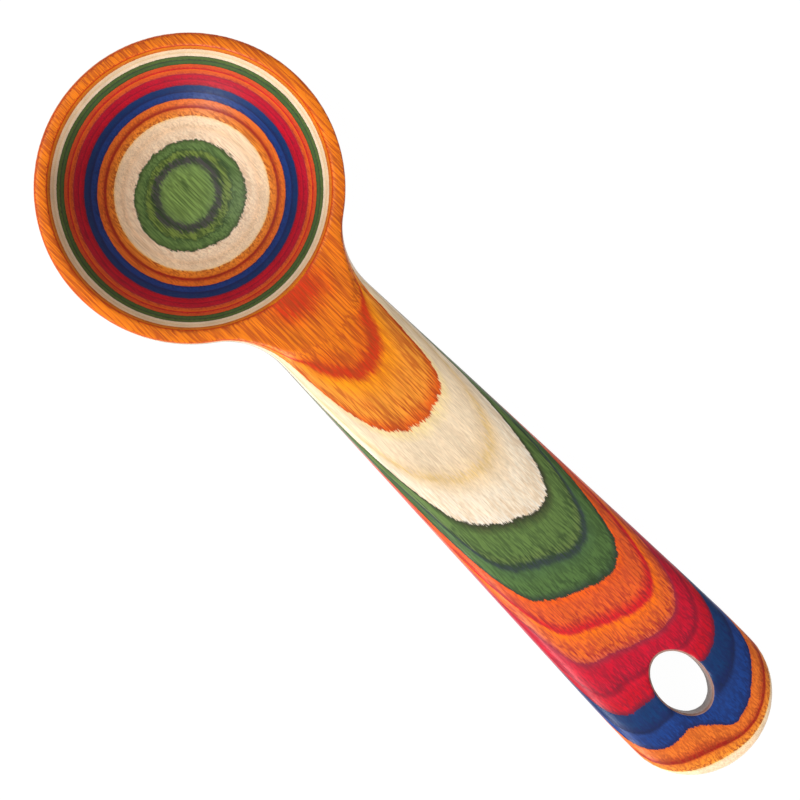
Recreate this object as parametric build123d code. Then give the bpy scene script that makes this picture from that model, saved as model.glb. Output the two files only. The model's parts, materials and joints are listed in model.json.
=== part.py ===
from build123d import *
import math
import os

# A one-tablespoon measuring spoon carved from a laminated blank.
# The blank is a stack of dyed birch veneers glued flat on each other. Carving the round bowl and the
# drooping handle through the stack leaves every veneer as its own piece, with a bowl part and, low in
# the stack, a separate handle part. Each piece is one node.
#
# Frame: the origin is on the table at the bowl's axis, +X runs along the handle to its tip, +Z is up.
# Veneer 1 is at the rim and the last one lies on the table.

# Blank: the veneers in order from the rim down, and how much of the first one is planed off for the rim
ply_thickness = 0.915
ply_colours = (
    "orange", "orange", "natural", "natural", "green", "green", "coral", "coral", "crimson", "crimson",
    "blue", "blue", "orange", "orange", "natural", "natural", "green", "green", "coral", "coral",
)
rim_skim = 0.62
rim_height = ply_thickness * len(ply_colours) - rim_skim

# Bowl: a spherical cap of one tablespoon, 14.8 ml, under a flat rim. Outside, the wall is upright below
# the rim and then curves in to a small flat land: the two pulls are how far the curve follows the wall
# and the table
cavity_rim_radius = 22.65
bowl_floor = 1.93
rim_width = 2.1
wall_height = 5.0
wall_pull = 6.0
base_pull = 8.0
base_land_radius = 4.0
inner_edge_radius = 0.4
outer_edge_radius = 0.8
outer_edge_fade = 42.0

# Handle: a crowned bar that leaves the rim level, droops to the table and ends in a half round. The two
# reaches are how far its line keeps the level of its crest and the tilt of its end
crest_station = 5.0
crest_rise = 0.25
handle_root = 10.0
handle_end = 115.95
crest_reach = 45.0
end_reach = 34.0
end_tilt = 11.0
root_half_width = 8.6
end_half_width = 13.15
taper_easing = 12.0
root_thickness = 9.1
end_thickness = 7.4
tip_land_depth = 0.08
neck_blend_radius = 12.0

# Stations along the handle's line, and how full the section is there: the first pair of fullness shares
# is for the crowned top, the second for the rounded underside, each across and then down. The waist, where
# the section is widest, comes nearer to the top towards the end
station_shares = (0, 0.12, 0.2, 0.3, 0.42, 0.68, 0.86, 0.94, 1)
top_fullness_shares = (
    (0.95, 0.9), (0.95, 0.82), (0.95, 0.74), (0.94, 0.68), (0.94, 0.65), (0.94, 0.64), (0.93, 0.62),
    (0.92, 0.6), (0.9, 0.58),
)
under_fullness_shares = (
    (0.72, 0.5), (0.74, 0.52), (0.76, 0.55), (0.8, 0.56), (0.82, 0.56), (0.84, 0.56), (0.84, 0.56),
    (0.84, 0.56), (0.84, 0.56),
)
waist_depth_shares = (0.47, 0.48, 0.48, 0.48, 0.48, 0.46, 0.41, 0.37, 0.34)

# Hanging hole: an oval cut straight down through the handle's end
hole_station = 112.1
hole_length = 11.9
hole_width = 8.4

# Solids that cut run this far past what they cut
overrun = 5.0


def outer_bowl():
    """The outside of the bowl as a solid, carried on above the rim for the neck's blend to run out on."""
    radius = cavity_rim_radius + rim_width
    shoulder = rim_height - wall_height
    top = rim_height + overrun
    outline = Wire(
        [
            Edge.make_line((0, 0, 0), (base_land_radius, 0, 0)),
            Edge.make_bezier(
                (base_land_radius, 0, 0),
                (base_land_radius + base_pull, 0, 0),
                (radius, 0, shoulder - wall_pull),
                (radius, 0, shoulder),
            ),
            Edge.make_line((radius, 0, shoulder), (radius, 0, top)),
            Edge.make_line((radius, 0, top), (0, 0, top)),
            Edge.make_line((0, 0, top), (0, 0, 0)),
        ]
    )
    return Rot(0, 0, 180) * revolve(Face(outline), axis=Axis.Z)


def cavity_ball():
    """The ball that the measuring cavity is a cap of."""
    depth = rim_height - bowl_floor
    radius = (cavity_rim_radius**2 + depth**2) / (2 * depth)
    return Pos(0, 0, bowl_floor + radius) * Sphere(radius)


def half_width_at(station):
    """Half the handle's width: a straight taper that eases out to the half round of the end."""
    taper_length = handle_end - handle_root - taper_easing / 2
    slope = (end_half_width - root_half_width) / taper_length
    short = max(handle_end - station, 0)
    if short < taper_easing:
        return end_half_width - slope * short**2 / (2 * taper_easing)
    return end_half_width - slope * (short - taper_easing / 2)


def thickness_at(station):
    """The handle's thickness, which tapers evenly from its root to its end."""
    share = (station - handle_root) / (handle_end - handle_root)
    return root_thickness + (end_thickness - root_thickness) * share


def handle_quarters(place, half_width, thickness, station_number):
    """The four curves of a handle section, from its right waist over the top and back underneath."""
    top_fullness = top_fullness_shares[station_number]
    under_fullness = under_fullness_shares[station_number]
    waist = -thickness * waist_depth_shares[station_number]
    top_across, top_down = top_fullness
    under_across, under_down = under_fullness
    shoulder = waist * (1 - top_down)
    bilge = waist - (thickness + waist) * under_down

    def at(across, height):
        return (place * Pos(0, across, height)).position

    return (
        Edge.make_bezier(
            at(half_width, waist), at(half_width, shoulder), at(half_width * top_across, 0), at(0, 0)
        ),
        Edge.make_bezier(
            at(0, 0), at(-half_width * top_across, 0), at(-half_width, shoulder), at(-half_width, waist)
        ),
        Edge.make_bezier(
            at(-half_width, waist),
            at(-half_width, bilge),
            at(-half_width * under_across, -thickness),
            at(0, -thickness),
        ),
        Edge.make_bezier(
            at(0, -thickness),
            at(half_width * under_across, -thickness),
            at(half_width, bilge),
            at(half_width, waist),
        ),
    )


def place_at(point, tilt):
    """The frame of a section: its own X along the handle, nose down by the tilt."""
    return Location((point.X, 0, point.Z), (0, tilt, 0))


def end_cap(place):
    """The half round that ends the handle: the end section turned about its own upright."""
    quarters = handle_quarters(place, end_half_width, end_thickness, -1)
    spine = Edge.make_line(quarters[1] @ 0, quarters[2] @ 1)
    half = Face(Wire([quarters[1], quarters[2], spine]))
    return revolve(half, axis=Axis(place.position, Plane(place).z_dir), revolution_arc=180)


def handle_line():
    """The centre line of the handle's top, level at its crest and tilted at its end."""
    trial = end_cap(place_at(Vector(0, 0, 0), end_tilt))
    end_height = -trial.bounding_box().min.Z - tip_land_depth
    crest_height = rim_height + crest_rise
    return Edge.make_bezier(
        (crest_station, 0, crest_height),
        (crest_station + crest_reach, 0, crest_height),
        (handle_end - end_reach, 0, end_height + end_reach * math.tan(math.radians(end_tilt))),
        (handle_end, 0, end_height),
    )


def handle():
    """The whole handle, from inside the bowl's wall to its half-round end."""
    line = handle_line()
    start = (handle_root - crest_station) / line.length
    sections = []
    for number, share in enumerate(station_shares):
        along = start + (1 - start) * share
        point = line @ along
        slope = line % along
        tilt = math.degrees(math.atan2(-slope.Z, slope.X))
        station = handle_end if share == 1 else point.X
        place = place_at(point, tilt)
        quarters = handle_quarters(place, half_width_at(station), thickness_at(station), number)
        sections.append(Wire(quarters))
    end = place_at(line @ 1, end_tilt)
    return Solid.make_loft(sections) + end_cap(end)


def blended_body():
    """The outside of the bowl and the handle, blended round the neck."""
    bowl = outer_bowl()
    bar = handle()
    body = bowl + bar
    crease = [edge for edge in new_edges(bowl, bar, combined=body) if edge.center().X > handle_root]
    return fillet(crease, neck_blend_radius)


def rim_softener():
    """A ring that rounds the rim's outer edge, most at the far side and fading out before the neck."""
    rim_radius = cavity_rim_radius + rim_width
    fade = math.cos(math.radians(outer_edge_fade))
    ring_shift = outer_edge_radius / (1 + fade)
    ring_radius = rim_radius + ring_shift
    low = rim_height - outer_edge_radius
    corner = ring_radius - outer_edge_radius
    reach = ring_radius + overrun
    top = rim_height + overrun
    diagonal = outer_edge_radius * math.sqrt(2) / 2
    wire = Wire(
        [
            Edge.make_three_point_arc(
                (ring_radius, 0, low), (corner + diagonal, 0, low + diagonal), (corner, 0, rim_height)
            ),
            Edge.make_line((corner, 0, rim_height), (corner, 0, top)),
            Edge.make_line((corner, 0, top), (reach, 0, top)),
            Edge.make_line((reach, 0, top), (reach, 0, low)),
            Edge.make_line((reach, 0, low), (ring_radius, 0, low)),
        ]
    )
    ring = Pos(ring_shift, 0, 0) * revolve(Face(wire), axis=Axis.Z)
    return ring & (Pos(fade * rim_radius - 2 * reach, 0, 0) * Box(4 * reach, 4 * reach, 4 * reach))


def hanging_hole():
    """The oval plug that is cut out for the hanging hole."""
    oval = Ellipse(hole_length / 2, hole_width / 2)
    return Pos(hole_station, 0, -overrun) * extrude(oval, rim_height + 2 * overrun)


def slab(low, high):
    """Everything between two heights."""
    reach = 2 * (handle_end + end_half_width + cavity_rim_radius)
    return Pos(0, 0, (low + high) / 2) * Box(reach, reach, high - low)


def rim_inner_edge(body):
    """The circle where the cavity meets the flat rim."""
    circles = body.edges().filter_by(GeomType.CIRCLE)

    def misfit(edge):
        return abs(edge.radius - cavity_rim_radius) + abs(edge.center().Z - rim_height)

    return min(circles, key=misfit)


def spoon():
    """The whole carved spoon before it is divided into its veneers."""
    body = blended_body() & slab(0, rim_height)
    body = body - rim_softener() - cavity_ball() - hanging_hole()
    return fillet(rim_inner_edge(body), inner_edge_radius)


def veneer_parts(body, number):
    """The separate parts that the carving leaves of one veneer, named, from the bowl outwards."""
    colour = ply_colours[number - 1]
    low = ply_thickness * (len(ply_colours) - number)
    high = min(low + ply_thickness, rim_height)
    pieces = sorted((body & slab(low, high)).solids(), key=lambda solid: solid.center().X)
    name = f"ply_{number:02d}_{colour}"
    if len(pieces) == 1:
        return {name: pieces[0]}
    return {f"{name}_bowl": pieces[0], f"{name}_handle": pieces[1]}


def main():
    """Carve the spoon and write each veneer part to its own file."""
    os.makedirs("parts", exist_ok=True)
    body = spoon()
    for number in range(1, len(ply_colours) + 1):
        for name, solid in veneer_parts(body, number).items():
            solid.label = name
            export_step(solid, f"parts/{name}.step")


main()
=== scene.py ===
import enum
import json
import logging
import math
from dataclasses import dataclass, field

import bmesh
import bpy
import numpy as np
from mathutils import Matrix, Vector


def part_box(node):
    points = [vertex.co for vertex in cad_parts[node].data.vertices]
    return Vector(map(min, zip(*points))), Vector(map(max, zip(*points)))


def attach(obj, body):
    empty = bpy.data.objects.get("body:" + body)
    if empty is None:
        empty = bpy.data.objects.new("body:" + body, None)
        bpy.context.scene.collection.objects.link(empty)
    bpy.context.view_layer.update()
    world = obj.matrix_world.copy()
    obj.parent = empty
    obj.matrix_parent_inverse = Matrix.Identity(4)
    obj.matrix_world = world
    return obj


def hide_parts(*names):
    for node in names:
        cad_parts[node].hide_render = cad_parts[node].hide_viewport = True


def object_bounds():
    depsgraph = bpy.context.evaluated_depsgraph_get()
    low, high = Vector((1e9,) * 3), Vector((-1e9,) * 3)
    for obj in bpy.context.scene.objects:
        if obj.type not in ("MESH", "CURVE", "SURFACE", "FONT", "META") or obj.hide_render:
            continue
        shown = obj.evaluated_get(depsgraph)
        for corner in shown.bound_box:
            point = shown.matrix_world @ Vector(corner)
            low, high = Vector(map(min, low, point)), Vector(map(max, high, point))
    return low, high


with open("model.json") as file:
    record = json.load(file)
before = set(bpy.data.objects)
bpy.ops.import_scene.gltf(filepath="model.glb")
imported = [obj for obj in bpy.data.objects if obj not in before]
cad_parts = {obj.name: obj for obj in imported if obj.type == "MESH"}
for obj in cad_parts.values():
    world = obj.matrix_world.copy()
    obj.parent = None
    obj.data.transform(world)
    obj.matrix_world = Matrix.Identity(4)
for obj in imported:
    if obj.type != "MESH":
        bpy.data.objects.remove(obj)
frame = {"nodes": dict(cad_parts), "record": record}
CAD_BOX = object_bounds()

LOG = logging.getLogger("spoon")
MM = 0.001
BODY = "root"
LOWEST_VENEER = "ply_20_coral_bowl"
PICTURE_MIDDLE = (47.4 * MM, -0.2 * MM)
DEPTH_LAYER = "ply_depth"
HEIGHT_LAYER = "true_height"
NOISE_MIDDLE = 0.5
NOISE_ROUGHNESS = 0.55
RAMP_VENEERS = 3
STROKE_INSET = 0.01
MIX_FIRST_COLOUR = 6
MIX_SECOND_COLOUR = 7
MIX_RESULT_COLOUR = 2
CUT_TOLERANCE = 1e-7
SHARP_ANGLE = math.radians(40)


class Dye(enum.Enum):
    """The colours that the veneers are dyed."""

    ORANGE = "orange"
    NATURAL = "natural"
    GREEN = "green"
    CORAL = "coral"
    CRIMSON = "crimson"
    BLUE = "blue"


def linear(red: float, green: float, blue: float) -> tuple[float, float, float, float]:
    """Turn a colour as a screen shows it, in sRGB, into the linear one that a shader takes.

    Args:
        red: Red, from 0 to 255.
        green: Green, from 0 to 255.
        blue: Blue, from 0 to 255.

    Returns:
        The linear colour with full alpha.
    """
    parts = [value / 255 for value in (red, green, blue)]
    bent = [part / 12.92 if part <= 0.04045 else ((part + 0.055) / 1.055) ** 2.4 for part in parts]
    return (bent[0], bent[1], bent[2], 1.0)


@dataclass(frozen=True)
class Tint:
    """One tone of a veneer, as a screen shows it.

    Attributes:
        red: Red, from 0 to 255.
        green: Green, from 0 to 255.
        blue: Blue, from 0 to 255.
    """

    red: float
    green: float
    blue: float

    def shade(self) -> tuple[float, float, float, float]:
        """Give the tone as a shader takes it.

        Returns:
            The linear colour with full alpha.
        """
        return linear(self.red, self.green, self.blue)


@dataclass(frozen=True)
class DyedWood:
    """How a pair of veneers of one dye looks through its thickness, from its upper face down.

    Attributes:
        slot: The record's material slot.
        face: The tone at the pair's upper face, where another colour is glued on.
        core: The tone in the middle of the upper veneer.
        fringe: The tone just above the glue line between the two.
        joint: The tone at that glue line.
        halo: The tone just below it, where the glue has bleached the wood.
        under: The tone in the middle of the lower veneer.
        foot: The tone at the pair's lower face.
        stroke: What the dark strokes of the grain are.
        fringe_start: Where the upper veneer starts to turn to the fringe, as a share of its thickness.
        joint_width: How far the glue line reaches into each veneer, as a share of its thickness.
        ring: The tone of a faint ring in the upper veneer, if there is one.
        ring_width: Half the ring's thickness, as a share of the veneer's.
        face_depth: How deep the tone of the upper face reaches, as a share of the thickness.
        fringe_end: How far above the glue line the fringe ends, as a share of the thickness.
        halo_depth: How far below the glue line the halo lies, as a share of the thickness.
        under_start: Where the lower veneer's middle tone starts, as a share of its thickness.
        under_end: Where that tone ends.
    """

    slot: str
    face: Tint
    core: Tint
    fringe: Tint
    joint: Tint
    halo: Tint
    under: Tint
    foot: Tint
    stroke: Tint
    fringe_start: float = 0.66
    joint_width: float = 0.05
    ring: Tint | None = None
    ring_width: float = 0.07
    face_depth: float = 0.24
    fringe_end: float = 0.09
    halo_depth: float = 0.12
    under_start: float = 0.45
    under_end: float = 0.76

    def upper(self) -> list[tuple[float, Tint]]:
        """List the tones of the pair's upper veneer.

        Returns:
            Each tone with its share of the thickness.
        """
        glue = 1.0 - self.joint_width
        ladder = [(0.0, self.face), (self.face_depth, self.core), (self.fringe_start, self.core)]
        if self.ring:
            ladder.append((self.fringe_start + self.ring_width, self.ring))
            ladder.append((self.fringe_start + 2 * self.ring_width, self.fringe))
        return [*ladder, (glue - self.fringe_end, self.fringe), (glue, self.joint), (1.0, self.joint)]

    def lower(self) -> list[tuple[float, Tint]]:
        """List the tones of the pair's lower veneer.

        Returns:
            Each tone with its share of the thickness.
        """
        return [
            (0.0, self.joint),
            (self.joint_width, self.joint),
            (self.joint_width + self.halo_depth, self.halo),
            (self.under_start, self.under),
            (self.under_end, self.under),
            (1.0, self.foot),
        ]


# Veneers 1 to 12, and any deeper ones that have no tones of their own
WOODS = {
    Dye.ORANGE: DyedWood(
        slot="dyed_orange",
        face=Tint(228, 104, 12),
        core=Tint(238, 124, 14),
        fringe=Tint(235, 110, 8),
        joint=Tint(206, 54, 8),
        halo=Tint(250, 150, 6),
        under=Tint(238, 146, 44),
        foot=Tint(222, 82, 12),
        stroke=Tint(172, 60, 12),
        fringe_start=0.78,
        joint_width=0.04,
    ),
    Dye.NATURAL: DyedWood(
        slot="natural_birch",
        face=Tint(242, 214, 150),
        core=Tint(238, 214, 180),
        fringe=Tint(234, 206, 164),
        joint=Tint(226, 192, 134),
        halo=Tint(234, 206, 166),
        under=Tint(240, 222, 196),
        foot=Tint(238, 226, 208),
        stroke=Tint(224, 196, 162),
    ),
    Dye.GREEN: DyedWood(
        slot="dyed_green",
        face=Tint(56, 50, 36),
        core=Tint(96, 122, 62),
        fringe=Tint(102, 122, 64),
        joint=Tint(54, 66, 64),
        halo=Tint(78, 108, 62),
        under=Tint(82, 112, 58),
        foot=Tint(42, 50, 50),
        stroke=Tint(46, 66, 36),
    ),
    Dye.CORAL: DyedWood(
        slot="dyed_coral",
        face=Tint(246, 96, 14),
        core=Tint(228, 94, 36),
        fringe=Tint(220, 56, 34),
        joint=Tint(212, 28, 34),
        halo=Tint(251, 116, 10),
        under=Tint(231, 104, 34),
        foot=Tint(206, 84, 58),
        stroke=Tint(160, 34, 36),
    ),
    Dye.CRIMSON: DyedWood(
        slot="dyed_crimson",
        face=Tint(150, 40, 58),
        core=Tint(200, 12, 44),
        fringe=Tint(194, 12, 44),
        joint=Tint(160, 10, 40),
        halo=Tint(206, 12, 42),
        under=Tint(196, 6, 34),
        foot=Tint(104, 18, 48),
        stroke=Tint(134, 16, 42),
    ),
    Dye.BLUE: DyedWood(
        slot="dyed_blue",
        face=Tint(28, 52, 98),
        core=Tint(12, 52, 102),
        fringe=Tint(14, 44, 92),
        joint=Tint(20, 36, 80),
        halo=Tint(26, 60, 126),
        under=Tint(22, 60, 130),
        foot=Tint(28, 30, 78),
        stroke=Tint(16, 34, 88),
    ),
}

# Veneers 13 to 18, whose tones differ from those of the same dyes above them
DEEP_WOODS = {
    Dye.ORANGE: DyedWood(
        slot="dyed_orange",
        face=Tint(224, 104, 30),
        core=Tint(232, 116, 36),
        fringe=Tint(196, 74, 26),
        joint=Tint(158, 28, 12),
        halo=Tint(232, 118, 30),
        under=Tint(240, 138, 40),
        foot=Tint(250, 170, 70),
        stroke=Tint(160, 58, 16),
        fringe_start=0.5,
        joint_width=0.09,
    ),
    Dye.NATURAL: DyedWood(
        slot="natural_birch",
        face=Tint(250, 208, 140),
        core=Tint(252, 222, 184),
        fringe=Tint(250, 216, 176),
        joint=Tint(248, 213, 171),
        halo=Tint(250, 217, 179),
        under=Tint(252, 226, 192),
        foot=Tint(252, 228, 198),
        stroke=Tint(224, 190, 154),
    ),
    Dye.GREEN: DyedWood(
        slot="dyed_green",
        face=Tint(56, 68, 36),
        core=Tint(106, 138, 72),
        fringe=Tint(124, 148, 66),
        joint=Tint(78, 78, 74),
        halo=Tint(124, 156, 84),
        under=Tint(138, 172, 88),
        foot=Tint(42, 50, 50),
        stroke=Tint(44, 70, 32),
        fringe_start=0.5,
        joint_width=0.1,
        ring=Tint(64, 88, 52),
    ),
}
FIRST_DEEP_VENEER = 13


@dataclass(frozen=True)
class Swell:
    """A low rise or hollow that the press left in the glue lines.

    Attributes:
        along: Its place along the handle's axis, in metres.
        across: Its place across the axis, in metres.
        length: Its reach along the axis, in metres.
        width: Its reach across the axis, in metres.
        rise: How far it lifts the glue lines, in veneers.
        level: The depth in the stack where it is strongest, in veneers.
        spread: Its reach up and down the stack, in veneers.
    """

    along: float
    across: float
    length: float
    width: float
    rise: float
    level: float
    spread: float

    def lift(self, x: np.ndarray, y: np.ndarray, level: np.ndarray) -> np.ndarray:
        """Work out the lift at points of the stack.

        Args:
            x: Places along the axis, in metres.
            y: Places across the axis, in metres.
            level: Depths in the stack, in veneers.

        Returns:
            The lift at each point, in veneers.
        """
        flat = ((x - self.along) / self.length) ** 2 + ((y - self.across) / self.width) ** 2
        deep = ((level - self.level) / self.spread) ** 2
        return self.rise * np.exp(-flat - deep)


# Set from where the bands end in the photograph
SWELLS = (
    Swell(38 * MM, 0 * MM, 12 * MM, 14 * MM, -0.25, 1.0, 0.8),
    Swell(33 * MM, -9 * MM, 8 * MM, 3 * MM, -0.5, 1.0, 0.7),
    Swell(33 * MM, 9.5 * MM, 7 * MM, 2.5 * MM, -0.8, 1.0, 0.7),
    Swell(25 * MM, 0 * MM, 6 * MM, 9 * MM, 0.38, 0.7, 0.5),
    Swell(48 * MM, 8 * MM, 10 * MM, 3 * MM, -0.3, 2.0, 0.8),
    Swell(63 * MM, -7 * MM, 12 * MM, 5 * MM, 0.28, 3.5, 1.5),
    Swell(74 * MM, 6 * MM, 8 * MM, 5 * MM, -0.25, 4.0, 1.0),
    Swell(84 * MM, 4 * MM, 8 * MM, 5 * MM, -0.25, 5.0, 0.9),
    Swell(100 * MM, 7 * MM, 22 * MM, 9 * MM, -0.8, 8.0, 4.5),
    Swell(106 * MM, -12 * MM, 14 * MM, 4 * MM, -0.8, 9.0, 2.2),
    Swell(118 * MM, -4 * MM, 6 * MM, 3 * MM, 0.35, 11.8, 1.3),
    Swell(124 * MM, 4 * MM, 8 * MM, 6 * MM, -0.85, 13.0, 2.0),
    Swell(123.5 * MM, 1.7 * MM, 6 * MM, 1.3 * MM, -0.3, 12.2, 1.0),
    Swell(0 * MM, -8.5 * MM, 9 * MM, 4.5 * MM, 0.45, 15.5, 1.0),
    Swell(3.4 * MM, 2.2 * MM, 7 * MM, 7 * MM, -0.46, 17.3, 1.0),
    Swell(54 * MM, -10.2 * MM, 16 * MM, 1.6 * MM, 1.0, 5.5, 2.5),
    Swell(75 * MM, -11.5 * MM, 30 * MM, 2.2 * MM, 0.8, 6.5, 3.0),
    Swell(75 * MM, 11.5 * MM, 30 * MM, 2.0 * MM, 0.5, 6.5, 3.0),
)


@dataclass
class Blank:
    """The pressed stack of veneers that the spoon is carved from.

    Attributes:
        ply: The thickness of one veneer, in metres.
        dyes: The dye of each veneer, from the rim down.
        swells: The rises and hollows of its glue lines.
    """

    ply: float
    dyes: list[Dye]
    swells: list[Swell]

    @property
    def top(self) -> float:
        """Give the height of the stack before the rim was planed.

        Returns:
            The height, in metres.
        """
        return self.ply * len(self.dyes)

    def depth(self, points: np.ndarray) -> np.ndarray:
        """Work out how deep points lie in the waving stack.

        Args:
            points: Points in the spoon's frame, in metres, one to a row.

        Returns:
            Each point's depth below the top of the stack, in veneers.
        """
        level = (self.top - points[:, 2]) / self.ply
        lift = np.zeros(len(points))
        for swell in self.swells:
            lift += swell.lift(points[:, 0], points[:, 1], level)
        return level + lift


@dataclass
class CarvedBody:
    """The whole carved spoon as one fine, smooth skin, before it is parted into its veneers.

    Attributes:
        voxel: The size of the skin's faces, in metres.
        flat_tolerance: How near points must be to count as one, or as on a glue line, in metres.
        smoothing_passes: How often the skin is smoothed.
        smoothing_share: How strongly it is smoothed each time.
    """

    voxel: float = 0.42 * MM
    flat_tolerance: float = 0.02 * MM
    smoothing_passes: int = 6
    smoothing_share: float = 0.5

    def build(self, nodes: list[bpy.types.Object], blank: Blank) -> bpy.types.Mesh:
        """Join the veneers' outsides and remesh them.

        Args:
            nodes: The CAD veneers.
            blank: The stack that they belong to.

        Returns:
            The skin of the whole spoon.
        """
        joined = bmesh.new()
        for node in nodes:
            joined.from_mesh(node.data)
        self.open_glue_faces(joined, blank)
        bmesh.ops.remove_doubles(joined, verts=joined.verts, dist=self.flat_tolerance)
        rough = bpy.data.meshes.new("rough_body")
        joined.to_mesh(rough)
        joined.free()
        carrier = bpy.data.objects.new("rough_body", rough)
        bpy.context.scene.collection.objects.link(carrier)
        remesh = carrier.modifiers.new("voxels", "REMESH")
        remesh.mode = "VOXEL"
        remesh.voxel_size = self.voxel
        remesh.use_smooth_shade = True
        smooth = carrier.modifiers.new("smooth", "SMOOTH")
        smooth.factor = self.smoothing_share
        smooth.iterations = self.smoothing_passes
        graph = bpy.context.evaluated_depsgraph_get()
        skin = bpy.data.meshes.new_from_object(carrier.evaluated_get(graph))
        bpy.data.objects.remove(carrier)
        bpy.data.meshes.remove(rough)
        return skin

    def open_glue_faces(self, joined: bmesh.types.BMesh, blank: Blank) -> None:
        """Delete the flat faces where two veneers are glued together.

        Args:
            joined: All the veneers in one mesh.
            blank: The stack that they belong to.
        """
        inner = []
        for face in joined.faces:
            heights = [vert.co.z for vert in face.verts]
            step = round(heights[0] / blank.ply)
            on_line = all(abs(height - step * blank.ply) < self.flat_tolerance for height in heights)
            if on_line and 0 < step < len(blank.dyes):
                inner.append(face)
        bmesh.ops.delete(joined, geom=inner, context="FACES")


@dataclass
class VeneerStack:
    """The parting of the carved spoon into its veneers, along the waving glue lines.

    Attributes:
        blank: The stack that the spoon is carved from.
        bowl_reach: How far along the handle's axis a part's middle may lie to be a bowl part, in metres.
    """

    blank: Blank
    bowl_reach: float = 32 * MM

    def part(self, skin: bpy.types.Mesh) -> dict[int, bmesh.types.BMesh]:
        """Part the skin into one closed mesh for each veneer.

        Args:
            skin: The skin of the whole spoon.

        Returns:
            A mesh for each veneer number, counted from the rim.
        """
        rest = bmesh.new()
        rest.from_mesh(skin)
        height_layer = rest.verts.layers.float.new(HEIGHT_LAYER)
        depth_layer = rest.verts.layers.float.new(DEPTH_LAYER)
        points = np.array([vert.co for vert in rest.verts])
        depths = self.blank.depth(points)
        for vert, depth in zip(rest.verts, depths):
            vert[height_layer] = vert.co.z
            vert[depth_layer] = depth
            vert.co.z = -depth
        parted = {}
        for number in range(1, len(self.blank.dyes)):
            veneer = rest.copy()
            self.cut(veneer, number, keep_above=True)
            self.cut(rest, number, keep_above=False)
            parted[number] = veneer
        parted[len(self.blank.dyes)] = rest
        for veneer in parted.values():
            self.restore(veneer)
        return parted

    def cut(self, mesh: bmesh.types.BMesh, depth: float, keep_above: bool) -> None:
        """Cut a mesh flat at a depth of the levelled stack, and close the cut.

        Args:
            mesh: The mesh to cut.
            depth: Where to cut, in veneers below the top of the stack.
            keep_above: Whether the part nearer the rim is the one that stays.
        """
        everything = [*mesh.verts, *mesh.edges, *mesh.faces]
        bmesh.ops.bisect_plane(
            mesh,
            geom=everything,
            dist=CUT_TOLERANCE,
            plane_co=(0, 0, -depth),
            plane_no=(0, 0, 1),
            clear_inner=keep_above,
            clear_outer=not keep_above,
        )
        rim = [edge for edge in mesh.edges if edge.is_boundary]
        bmesh.ops.triangle_fill(mesh, edges=rim, use_beauty=True, use_dissolve=False)

    def restore(self, mesh: bmesh.types.BMesh) -> None:
        """Put the points of a levelled mesh back at their true heights.

        Args:
            mesh: The mesh of one veneer.
        """
        height_layer = mesh.verts.layers.float[HEIGHT_LAYER]
        for vert in mesh.verts:
            vert.co.z = vert[height_layer]
        mesh.verts.layers.float.remove(height_layer)
        bmesh.ops.recalc_face_normals(mesh, faces=mesh.faces)

    def islands(self, mesh: bmesh.types.BMesh) -> list[list[bmesh.types.BMVert]]:
        """Find the separate parts of a mesh.

        Args:
            mesh: The mesh of one veneer.

        Returns:
            The points of each separate part.
        """
        seen: set[bmesh.types.BMVert] = set()
        found = []
        for start in mesh.verts:
            if start in seen:
                continue
            seen.add(start)
            island = [start]
            for vert in island:
                for edge in vert.link_edges:
                    other = edge.other_vert(vert)
                    if other not in seen:
                        seen.add(other)
                        island.append(other)
            found.append(island)
        return found

    def keep_side(self, mesh: bmesh.types.BMesh, bowl: bool) -> bmesh.types.BMesh:
        """Copy one veneer with only its bowl part or its handle part.

        Args:
            mesh: The mesh of one veneer.
            bowl: Whether the bowl part is the one that stays.

        Returns:
            The copy.
        """
        side = mesh.copy()
        away = []
        for island in self.islands(side):
            middle = sum(vert.co.x for vert in island) / len(island)
            if (middle < self.bowl_reach) != bowl:
                away.extend(island)
        bmesh.ops.delete(side, geom=away, context="VERTS")
        return side


@dataclass(frozen=True)
class Grain:
    """A noise that is stretched along the wood's fibres.

    Attributes:
        length: The length of its features along the fibres, in metres.
        width: Their width, in metres.
        detail: How many finer layers it has.
        seed: A shift that keeps it apart from the other grains.
    """

    length: float
    width: float
    detail: float
    seed: float


@dataclass(frozen=True)
class Fade:
    """An even change from one number to another, held at both ends.

    Attributes:
        start: What is read where it starts.
        end: What is read where it ends.
        low: The result at the start.
        high: The result at the end.
    """

    start: float
    end: float
    low: float
    high: float


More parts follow.
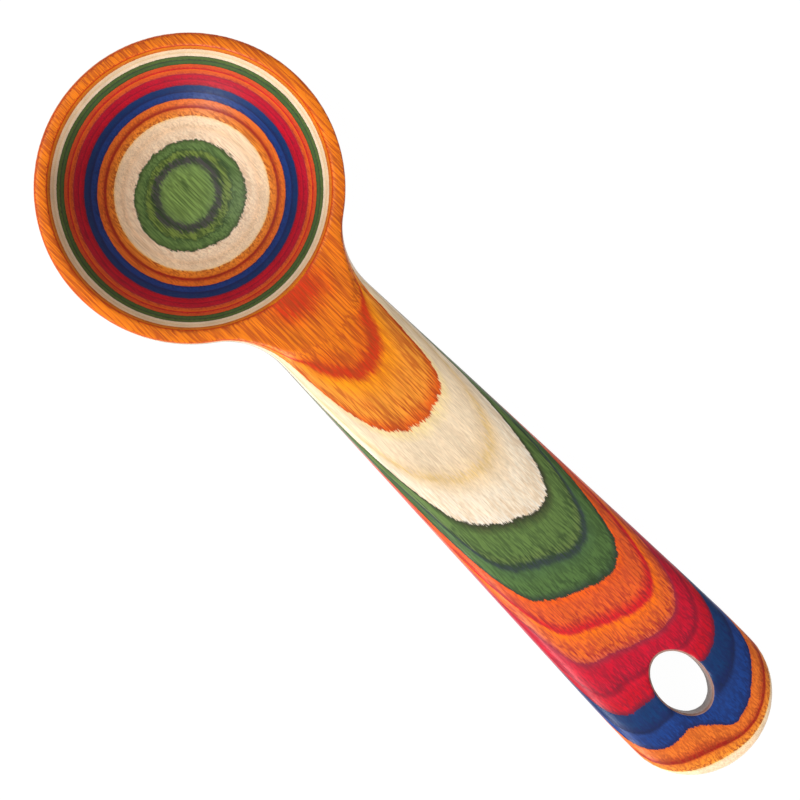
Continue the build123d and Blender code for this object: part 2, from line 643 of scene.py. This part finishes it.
class Sketch:
    """A shorthand for wiring a material's nodes.

    Attributes:
        material: The material that is wired.
        tree: Its nodes.
    """

    def __init__(self, name: str) -> None:
        """Start an empty material.

        Args:
            name: The material's name.
        """
        self.material = bpy.data.materials.new(name)
        self.material.use_nodes = True
        self.tree = self.material.node_tree
        self.tree.nodes.clear()

    def node(self, kind: str, **settings: object) -> bpy.types.Node:
        """Add a node and set its properties.

        Args:
            kind: The node's type.
            **settings: Properties to set on it.

        Returns:
            The node.
        """
        made = self.tree.nodes.new(kind)
        for key, value in settings.items():
            setattr(made, key, value)
        return made

    def put(self, socket: bpy.types.NodeSocket, value: object) -> None:
        """Link an output to a socket, or set the socket to a plain value.

        Args:
            socket: The input to fill.
            value: An output's socket or a plain value.
        """
        if isinstance(value, bpy.types.NodeSocket):
            self.tree.links.new(value, socket)
        else:
            socket.default_value = value

    def sum(
        self, operation: str, first: object, second: object = 0.0, clamp: bool = False
    ) -> bpy.types.NodeSocket:
        """Add a math node.

        Args:
            operation: The node's operation.
            first: Its first input.
            second: Its second input.
            clamp: Whether the result stays between 0 and 1.

        Returns:
            The result's socket.
        """
        made = self.node("ShaderNodeMath", operation=operation, use_clamp=clamp)
        self.put(made.inputs[0], first)
        self.put(made.inputs[1], second)
        return made.outputs[0]

    def grain(self, grain: Grain) -> bpy.types.NodeSocket:
        """Add noise that is stretched along the wood's fibres.

        Args:
            grain: Its sizes.

        Returns:
            The noise, from 0 to 1.
        """
        place = self.node("ShaderNodeTexCoord")
        mapping = self.node("ShaderNodeMapping")
        self.put(mapping.inputs["Vector"], place.outputs["Object"])
        mapping.inputs["Location"].default_value = (grain.seed, grain.seed * 2, grain.seed * 3)
        mapping.inputs["Scale"].default_value = (1 / grain.length, 1 / grain.width, 1 / grain.width)
        noise = self.node("ShaderNodeTexNoise")
        noise.inputs["Scale"].default_value = 1.0
        noise.inputs["Detail"].default_value = grain.detail
        noise.inputs["Roughness"].default_value = NOISE_ROUGHNESS
        self.put(noise.inputs["Vector"], mapping.outputs["Vector"])
        return noise.outputs["Fac"]

    def fade(self, value: object, fade: Fade) -> bpy.types.NodeSocket:
        """Turn one range of numbers into another, held at both ends.

        Args:
            value: What is read.
            fade: The range and the results at its ends.

        Returns:
            The result's socket.
        """
        made = self.node("ShaderNodeMapRange", clamp=True)
        self.put(made.inputs["Value"], value)
        made.inputs["From Min"].default_value = fade.start
        made.inputs["From Max"].default_value = fade.end
        made.inputs["To Min"].default_value = fade.low
        made.inputs["To Max"].default_value = fade.high
        return made.outputs["Result"]

    def grey(self, value: object) -> bpy.types.NodeSocket:
        """Turn a number into a grey.

        Args:
            value: The number.

        Returns:
            The grey's socket.
        """
        made = self.node("ShaderNodeCombineColor")
        for channel in made.inputs:
            self.put(channel, value)
        return made.outputs["Color"]

    def ramp(self, value: object, stops: list[tuple[float, tuple[float, ...]]]) -> bpy.types.NodeSocket:
        """Add a colour ramp.

        Args:
            value: What the ramp reads.
            stops: The place and colour of each stop, in order.

        Returns:
            The colour's socket.
        """
        made = self.node("ShaderNodeValToRGB")
        elements = made.color_ramp.elements
        elements[0].position, elements[0].color = stops[0]
        elements[1].position, elements[1].color = stops[-1]
        for place, shade in stops[1:-1]:
            element = elements.new(place)
            element.color = shade
        self.put(made.inputs["Fac"], value)
        return made.outputs["Color"]

    def mix(self, kind: str, factor: object, first: object, second: object) -> bpy.types.NodeSocket:
        """Add a colour mix.

        Args:
            kind: The blend type.
            factor: How much of the second colour.
            first: The first colour.
            second: The second colour.

        Returns:
            The mixed colour's socket.
        """
        made = self.node("ShaderNodeMix", data_type="RGBA", blend_type=kind)
        self.put(made.inputs["Factor"], factor)
        self.put(made.inputs[MIX_FIRST_COLOUR], first)
        self.put(made.inputs[MIX_SECOND_COLOUR], second)
        return made.outputs[MIX_RESULT_COLOUR]


@dataclass(frozen=True)
class HangingHole:
    """The oval hole near the handle's end, whose wall is bare end grain.

    Attributes:
        middle: The middle of its height, in metres.
        length: Its length along the handle, in metres.
        width: Its width, in metres.
        reach: How far the wall's colour reaches, as a share of the oval.
        below: How far below its middle the wall is darkest, in painted shade, in metres.
        above: How far above its middle the wall is lightest, in a painted highlight, in metres.
        end_grain_with_painted_highlight: The wall's tone at the top: the end grain under a painted
            highlight.
        end_grain_in_painted_shade: The wall's tone at the bottom: the end grain in painted shade.
    """

    middle: Vector
    length: float = 11.9 * MM
    width: float = 8.4 * MM
    reach: float = 1.06
    below: float = 3 * MM
    above: float = 4 * MM
    end_grain_with_painted_highlight: Tint = Tint(156, 118, 106)
    end_grain_in_painted_shade: Tint = Tint(98, 82, 76)

    def share(self, sketch: Sketch, place: bpy.types.NodeSocket) -> bpy.types.NodeSocket:
        """Find where the surface belongs to the hole's wall.

        Args:
            sketch: The material that asks.
            place: The point in the spoon's frame.

        Returns:
            One on the wall and nought elsewhere.
        """
        split = sketch.node("ShaderNodeSeparateXYZ")
        sketch.put(split.inputs[0], place)
        along = sketch.sum("SUBTRACT", split.outputs["X"], self.middle.x)
        along = sketch.sum("DIVIDE", along, self.length / 2)
        across = sketch.sum("DIVIDE", split.outputs["Y"], self.width / 2)
        square = sketch.sum("ADD", sketch.sum("POWER", along, 2.0), sketch.sum("POWER", across, 2.0))
        return sketch.sum("LESS_THAN", square, self.reach**2)

    def wall(self, sketch: Sketch, place: bpy.types.NodeSocket) -> bpy.types.NodeSocket:
        """Wire the wall's colour, which is brighter towards its top: painted shade low down, a painted
        highlight at the top.

        Args:
            sketch: The material that asks.
            place: The point in the spoon's frame.

        Returns:
            The colour's socket.
        """
        split = sketch.node("ShaderNodeSeparateXYZ")
        sketch.put(split.inputs[0], place)
        # Painted light: the wall runs from painted shade at the bottom to a painted highlight at the top
        rise = Fade(self.middle.z - self.below, self.middle.z + self.above, 0.0, 1.0)
        stops = [(0.0, self.end_grain_in_painted_shade.shade()), (1.0, self.end_grain_with_painted_highlight.shade())]
        return sketch.ramp(sketch.fade(split.outputs["Z"], rise), stops)


@dataclass(frozen=True)
class SatinFinish:
    """How carved, sanded and oiled birch shows its grain and takes the light.

    Attributes:
        frays: The grains that fray the glue lines, each with its strength in veneers.
        deep_fray: How many times as strong they are, by the depth in the stack.
        lines: The long lines along the fibres.
        line_mark: How dark a line is, by how far its noise is from the middle.
        flecks: The short flecks between them.
        fleck_mark: How dark a fleck is, by its noise.
        rising: How strong lines and flecks are, by the depth in the veneer.
        bowl_end: How far along the handle's axis the bowl reaches, in metres.
        steep: How much end grain shows in the bowl, by how level the face is.
        side: How strong the painted sheen on the handle's sides is, by how level the face is.
        painted_sheen_tint: The colour of that painted sheen, a painted reflection of the white table.
        fine: The fine grain.
        fine_light: How light it is, by its noise.
        clouds: The broad clouds.
        cloud_light: How light they are, by their noise.
        edge_softness: How far the tones blend at a veneer's faces, as a share of its thickness.
        roughness: The roughness, by how dark the strokes are.
        specular: The strength of the wood's own sheen.
        coat: The share of the oil's sheen.
        coat_roughness: The roughness of the oil.
        bump: How strongly the strokes dent the surface.
        bump_height: How deep a stroke is, in metres.
    """

    frays: tuple[tuple[Grain, float], ...] = (
        (Grain(6 * MM, 1.3 * MM, 2.0, 3.1), 0.12),
        (Grain(2.6 * MM, 0.3 * MM, 1.0, 11.7), 0.1),
        (Grain(1.2 * MM, 0.13 * MM, 1.0, 17.9), 0.14),
    )
    deep_fray: Fade = Fade(14.0, 16.0, 1.0, 2.4)
    lines: Grain = Grain(15 * MM, 0.62 * MM, 1.0, 23.9)
    line_mark: Fade = Fade(0.02, 0.085, 0.8, 0.0)
    flecks: Grain = Grain(7 * MM, 0.3 * MM, 1.0, 31.7)
    fleck_mark: Fade = Fade(0.56, 0.68, 0.0, 1.0)
    rising: Fade = Fade(0.3, 0.9, 0.52, 1.0)
    bowl_end: float = 23 * MM
    steep: Fade = Fade(0.55, 0.93, 0.45, 0.0)
    # Painted sheen on the handle's sides: a pinkish white that stands in for a reflection of the white
    # table
    side: Fade = Fade(0.0, 0.45, 0.26, 0.0)
    painted_sheen_tint: Tint = Tint(238, 214, 222)
    fine: Grain = Grain(2.0 * MM, 0.12 * MM, 1.0, 29.3)
    fine_light: Fade = Fade(0.3, 0.7, 0.84, 1.1)
    clouds: Grain = Grain(16 * MM, 2.4 * MM, 2.0, 41.3)
    cloud_light: Fade = Fade(0.25, 0.75, 0.88, 1.1)
    edge_softness: float = 0.03
    roughness: Fade = Fade(0.0, 1.0, 0.42, 0.56)
    specular: float = 0.2
    coat: float = 0.08
    coat_roughness: float = 0.3
    bump: float = 0.12
    bump_height: float = 0.06 * MM


@dataclass(frozen=True)
class SatinVeneer:
    """The material of one veneer.

    Attributes:
        blank: The stack that the veneer belongs to.
        number: The veneer, counted from the rim.
        hole: The hanging hole, whose wall has a colour of its own.
        finish: The wood's finish.
    """

    blank: Blank
    number: int
    hole: HangingHole
    finish: SatinFinish = SatinFinish()

    def wood(self, number: int) -> DyedWood:
        """Give the wood of a veneer, or of the nearest one inside the stack.

        Args:
            number: The veneer, counted from the rim.

        Returns:
            Its wood.
        """
        inside = min(max(number, 1), len(self.blank.dyes))
        dye = self.blank.dyes[inside - 1]
        is_deep = inside >= FIRST_DEEP_VENEER and dye in DEEP_WOODS
        return DEEP_WOODS[dye] if is_deep else WOODS[dye]

    def tones(self, number: int) -> list[tuple[float, Tint]]:
        """List the tones through one veneer, from its upper face down.

        Args:
            number: The veneer, counted from the rim.

        Returns:
            Each tone with its share of the thickness.
        """
        is_upper = number % 2 == 1
        return self.wood(number).upper() if is_upper else self.wood(number).lower()

    def stops(self) -> list[tuple[float, tuple[float, ...]]]:
        """Lay out the tone ramp's stops for this veneer and its two neighbours, with soft edges.

        Returns:
            The place and colour of each stop.
        """
        laid = []
        for step in range(RAMP_VENEERS):
            for share, tone in self.tones(self.number - 1 + step):
                is_edge = share in (0.0, 1.0)
                inset = self.finish.edge_softness * (0.5 - share) if is_edge else 0.0
                laid.append(((step + share + inset) / RAMP_VENEERS, tone.shade()))
        return laid

    def stroke_stops(self) -> list[tuple[float, tuple[float, ...]]]:
        """Lay out the stroke ramp's stops for this veneer and its two neighbours.

        Returns:
            The place and colour of each stop.
        """
        laid = []
        for step in range(RAMP_VENEERS):
            tone = self.wood(self.number - 1 + step).stroke.shade()
            laid.append(((step + STROKE_INSET) / RAMP_VENEERS, tone))
            laid.append(((step + 1 - STROKE_INSET) / RAMP_VENEERS, tone))
        return laid

    def ragged_depth(self, sketch: Sketch) -> bpy.types.NodeSocket:
        """Read the depth in the stack, frayed along the fibres as a cut through wood is.

        Args:
            sketch: The material that reads it.

        Returns:
            The depth, in veneers.
        """
        depth = sketch.node("ShaderNodeAttribute", attribute_name=DEPTH_LAYER).outputs["Fac"]
        deep = sketch.fade(depth, self.finish.deep_fray)
        for grain, amount in self.finish.frays:
            centred = sketch.sum("SUBTRACT", sketch.grain(grain), NOISE_MIDDLE)
            centred = sketch.sum("MULTIPLY", centred, deep)
            depth = sketch.sum("ADD", depth, sketch.sum("MULTIPLY", centred, amount))
        return depth

    def strokes(self, sketch: Sketch) -> bpy.types.NodeSocket:
        """Draw the dark strokes of the grain: long fine lines along the fibres, and short flecks.

        Args:
            sketch: The material that needs them.

        Returns:
            How dark the wood is, from nought between the strokes to one in them.
        """
        waves = sketch.sum("SUBTRACT", sketch.grain(self.finish.lines), NOISE_MIDDLE)
        lines = sketch.fade(sketch.sum("ABSOLUTE", waves), self.finish.line_mark)
        flecks = sketch.fade(sketch.grain(self.finish.flecks), self.finish.fleck_mark)
        return sketch.sum("MAXIMUM", lines, flecks)

    def colour(
        self, sketch: Sketch, strokes: bpy.types.NodeSocket, point: bpy.types.NodeSocket
    ) -> bpy.types.NodeSocket:
        """Wire the wood's colour: its tones by depth, its dark strokes, the painted sheen on its sides
        and its clouds.

        Args:
            sketch: The material to wire.
            strokes: How dark the strokes make the wood.
            point: The point in the spoon's frame.

        Returns:
            The colour's socket.
        """
        finish = self.finish
        depth = self.ragged_depth(sketch)
        upper_neighbour = self.number - 2.0
        place = sketch.sum("SUBTRACT", depth, upper_neighbour)
        place = sketch.sum("DIVIDE", place, float(RAMP_VENEERS), clamp=True)
        tone = sketch.ramp(place, self.stops())
        mark = sketch.ramp(place, self.stroke_stops())
        rising = sketch.fade(sketch.sum("FRACT", depth), finish.rising)
        marked = sketch.sum("MULTIPLY", strokes, rising)
        steep, side = self.slopes(sketch, point)
        tone = sketch.mix("MIX", sketch.sum("MAXIMUM", marked, steep), tone, mark)
        # Painted sheen: lighten the handle's steep sides towards a pinkish white, a painted reflection
        # of the table
        tone = sketch.mix("MIX", side, tone, finish.painted_sheen_tint.shade())
        for grain, light in ((finish.fine, finish.fine_light), (finish.clouds, finish.cloud_light)):
            shading = sketch.grey(sketch.fade(sketch.grain(grain), light))
            tone = sketch.mix("MULTIPLY", 1.0, tone, shading)
        return tone

    def slopes(
        self, sketch: Sketch, point: bpy.types.NodeSocket
    ) -> tuple[bpy.types.NodeSocket, bpy.types.NodeSocket]:
        """Find the steep faces, in the bowl and along the handle.

        Args:
            sketch: The material to wire.
            point: The point in the spoon's frame.

        Returns:
            How much end grain shows in the bowl, and how strong the painted sheen on the handle's sides
            is.
        """
        facing = sketch.node("ShaderNodeSeparateXYZ")
        sketch.put(facing.inputs[0], sketch.node("ShaderNodeNewGeometry").outputs["True Normal"])
        split = sketch.node("ShaderNodeSeparateXYZ")
        sketch.put(split.inputs[0], point)
        in_bowl = sketch.sum("LESS_THAN", split.outputs["X"], self.finish.bowl_end)
        on_handle = sketch.sum("SUBTRACT", 1.0, in_bowl)
        steep = sketch.fade(facing.outputs["Z"], self.finish.steep)
        # Painted sheen: the steeper a face on the handle, the more painted reflection it gets
        side = sketch.fade(facing.outputs["Z"], self.finish.side)
        return sketch.sum("MULTIPLY", steep, in_bowl), sketch.sum("MULTIPLY", side, on_handle)

    def material(self) -> bpy.types.Material:
        """Wire the veneer's material.

        Returns:
            The material.
        """
        finish = self.finish
        sketch = Sketch(f"veneer_{self.number:02d}_{self.blank.dyes[self.number - 1].value}")
        strokes = self.strokes(sketch)
        point = sketch.node("ShaderNodeTexCoord").outputs["Object"]
        colour = self.colour(sketch, strokes, point)
        colour = sketch.mix("MIX", self.hole.share(sketch, point), colour, self.hole.wall(sketch, point))
        bump = sketch.node("ShaderNodeBump", invert=True)
        bump.inputs["Strength"].default_value = finish.bump
        bump.inputs["Distance"].default_value = finish.bump_height
        sketch.put(bump.inputs["Height"], strokes)
        shader = sketch.node("ShaderNodeBsdfPrincipled")
        sketch.put(shader.inputs["Base Color"], colour)
        sketch.put(shader.inputs["Roughness"], sketch.fade(strokes, finish.roughness))
        shader.inputs["Specular IOR Level"].default_value = finish.specular
        shader.inputs["Coat Weight"].default_value = finish.coat
        shader.inputs["Coat Roughness"].default_value = finish.coat_roughness
        sketch.put(shader.inputs["Normal"], bump.outputs["Normal"])
        output = sketch.node("ShaderNodeOutputMaterial")
        sketch.put(output.inputs["Surface"], shader.outputs["BSDF"])
        return sketch.material


@dataclass
class Spoon:
    """The measuring spoon: its veneers, shaped, parted and finished.

    Attributes:
        blank: The stack that the spoon is carved from.
        hole: The hanging hole.
    """

    blank: Blank
    hole: HangingHole

    def build(self) -> list[bpy.types.Object]:
        """Make every veneer piece, each standing for the CAD node of its name.

        Returns:
            The pieces.
        """
        names = sorted(frame["nodes"])
        skin = CarvedBody().build([frame["nodes"][name] for name in names], self.blank)
        stack = VeneerStack(self.blank)
        parted = stack.part(skin)
        finishes = {number: SatinVeneer(self.blank, number, self.hole).material() for number in parted}
        pieces = []
        for name in names:
            number = veneer_number(name)
            mesh = parted[number]
            if name.endswith(("_bowl", "_handle")):
                mesh = stack.keep_side(mesh, bowl=name.endswith("_bowl"))
            pieces.append(self.dress(mesh, name, finishes[number]))
        bpy.data.meshes.remove(skin)
        return pieces

    def dress(
        self, shape: bmesh.types.BMesh, name: str, finish: bpy.types.Material
    ) -> bpy.types.Object:
        """Turn one veneer's mesh into a finished piece.

        Args:
            shape: The veneer's mesh.
            name: The CAD node that the piece stands for.
            finish: Its material.

        Returns:
            The piece.
        """
        mesh = bpy.data.meshes.new(f"{name}_wood")
        for face in shape.faces:
            face.smooth = True
        shape.to_mesh(mesh)
        mesh.materials.append(finish)
        piece = bpy.data.objects.new(f"{name}_wood", mesh)
        bpy.context.scene.collection.objects.link(piece)
        mesh.set_sharp_from_angle(angle=SHARP_ANGLE)
        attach(piece, BODY)
        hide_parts(name)
        LOG.info("%s: %d faces", piece.name, len(mesh.polygons))
        return piece


@dataclass(frozen=True)
class Lamp:
    """A square soft lamp that faces the spoon.

    Attributes:
        name: Its name.
        place: Where it hangs, from the point that the camera looks at, in metres.
        size: The length of its side, in metres.
        power: Its power, in watts.
    """

    name: str
    place: tuple[float, float, float]
    size: float
    power: float


LAMPS = (
    Lamp("key_lamp", (-0.62, -0.4, 0.8), 0.5, 4.6),
    Lamp("fill_lamp", (0.4, -0.72, 0.42), 0.4, 4.2),
    Lamp("sheen_lamp", (0.42, -0.85, 0.34), 0.3, 4.5),
)


@dataclass
class Studio:
    """The plain white table, its soft lamps and the camera above it.

    Attributes:
        middle: What the camera looks at, in metres.
        camera_offset: Where the camera is from there, in metres.
        picture_up: The direction that points up in the picture.
        lens: Its focal length, in millimetres.
        sensor: The width of its sensor, in millimetres.
        clip_start: The nearest that it sees, in metres.
        floor_size: The length of the table's side, in metres.
        floor_drop: How far the table lies below the spoon, in metres.
        floor_shade: How much light the table throws back.
        floor_glow: The white that the camera and reflections see in place of the table.
        glow_share: How much of what they see is that white. The rest shows the shadow.
        room_light: The strength of the light from all round.
    """

    middle: Vector
    camera_offset: Vector = field(default_factory=lambda: Vector((-8.0, -17.0, 520.0)) * MM)
    picture_up: Vector = field(default_factory=lambda: Vector((-1, 1, 0)).normalized())
    lens: float = 147.5
    sensor: float = 36.0
    clip_start: float = 0.01
    floor_size: float = 6.0
    floor_drop: float = 0.02 * MM
    floor_shade: float = 0.9
    floor_glow: float = 1.05
    glow_share: float = 0.93
    room_light: float = 0.5

    def build(self) -> None:
        """Set up the floor, the lamps, the world and the camera."""
        self.floor()
        for lamp in LAMPS:
            self.hang(lamp)
        self.world()
        self.camera()
        bpy.context.scene.view_settings.view_transform = "Standard"

    def floor(self) -> None:
        """Lay the white table, which keeps the spoon's soft shadow."""
        shape = bmesh.new()
        bmesh.ops.create_grid(shape, x_segments=1, y_segments=1, size=self.floor_size / 2)
        bmesh.ops.translate(shape, verts=shape.verts, vec=(0, 0, -self.floor_drop))
        mesh = bpy.data.meshes.new("table_top")
        shape.to_mesh(mesh)
        shape.free()
        table = bpy.data.objects.new("table_top", mesh)
        bpy.context.scene.collection.objects.link(table)
        sketch = Sketch("white_table")
        plain = sketch.node("ShaderNodeBsdfDiffuse")
        plain.inputs["Color"].default_value = (self.floor_shade, self.floor_shade, self.floor_shade, 1)
        glow = sketch.node("ShaderNodeEmission")
        glow.inputs["Strength"].default_value = self.floor_glow
        rays = sketch.node("ShaderNodeLightPath")
        seen = sketch.sum("MAXIMUM", rays.outputs["Is Camera Ray"], rays.outputs["Is Glossy Ray"])
        share = sketch.sum("MULTIPLY", seen, self.glow_share)
        blend = sketch.node("ShaderNodeMixShader")
        sketch.put(blend.inputs[0], share)
        sketch.put(blend.inputs[1], plain.outputs[0])
        sketch.put(blend.inputs[2], glow.outputs[0])
        output = sketch.node("ShaderNodeOutputMaterial")
        sketch.put(output.inputs["Surface"], blend.outputs[0])
        mesh.materials.append(sketch.material)

    def hang(self, lamp: Lamp) -> None:
        """Hang a lamp so that it faces the spoon.

        Args:
            lamp: The lamp.
        """
        light = bpy.data.lights.new(lamp.name, "AREA")
        light.size = lamp.size
        light.energy = lamp.power
        place = Vector(lamp.place)
        hung = bpy.data.objects.new(lamp.name, light)
        hung.location = self.middle + place
        hung.rotation_mode = "QUATERNION"
        hung.rotation_quaternion = (-place).to_track_quat("-Z", "Y")
        bpy.context.scene.collection.objects.link(hung)

    def world(self) -> None:
        """Fill the room with plain white light."""
        world = bpy.data.worlds.new("white_room")
        bpy.context.scene.world = world
        world.use_nodes = True
        background = world.node_tree.nodes["Background"]
        background.inputs["Color"].default_value = (1, 1, 1, 1)
        background.inputs["Strength"].default_value = self.room_light

    def camera(self) -> None:
        """Aim the camera down at the spoon, with the handle towards the picture's lower right."""
        data = bpy.data.cameras.new("camera")
        data.lens = self.lens
        data.sensor_width = self.sensor
        data.clip_start = self.clip_start
        camera = bpy.data.objects.new("camera", data)
        back = self.camera_offset.normalized()
        right = self.picture_up.cross(back).normalized()
        true_up = back.cross(right)
        turn = Matrix((right, true_up, back)).transposed()
        camera.matrix_world = Matrix.Translation(self.middle + self.camera_offset) @ turn.to_4x4()
        bpy.context.scene.collection.objects.link(camera)
        bpy.context.scene.camera = camera


def veneer_number(name: str) -> int:
    """Read a veneer's number from its CAD node's name.

    Args:
        name: The node's name.

    Returns:
        The number, counted from the rim.
    """
    return int(name.split("_")[1])


def veneer_dyes(names: list[str]) -> list[Dye]:
    """Read the veneers' dyes from the CAD nodes' names.

    Args:
        names: The nodes' names.

    Returns:
        The dye of each veneer, from the rim down.
    """
    found = {veneer_number(name): Dye(name.split("_")[2]) for name in names}
    return [found[number] for number in sorted(found)]


def main() -> None:
    """Build the spoon and the studio."""
    logging.basicConfig(level=logging.INFO, format="%(message)s")
    low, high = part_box(LOWEST_VENEER)
    blank = Blank(ply=high[2] - low[2], dyes=veneer_dyes(list(frame["nodes"])), swells=list(SWELLS))
    mounts = {mount["name"]: mount for mount in frame["record"]["mounts"]}
    hole = HangingHole(middle=Vector(mounts["hanging_hole"]["pos_m"]))
    Studio(middle=Vector((*PICTURE_MIDDLE, CAD_BOX[1].z))).build()
    pieces = Spoon(blank, hole).build()
    LOG.info("%d veneer pieces", len(pieces))


if __name__ == "__main__":
    main()
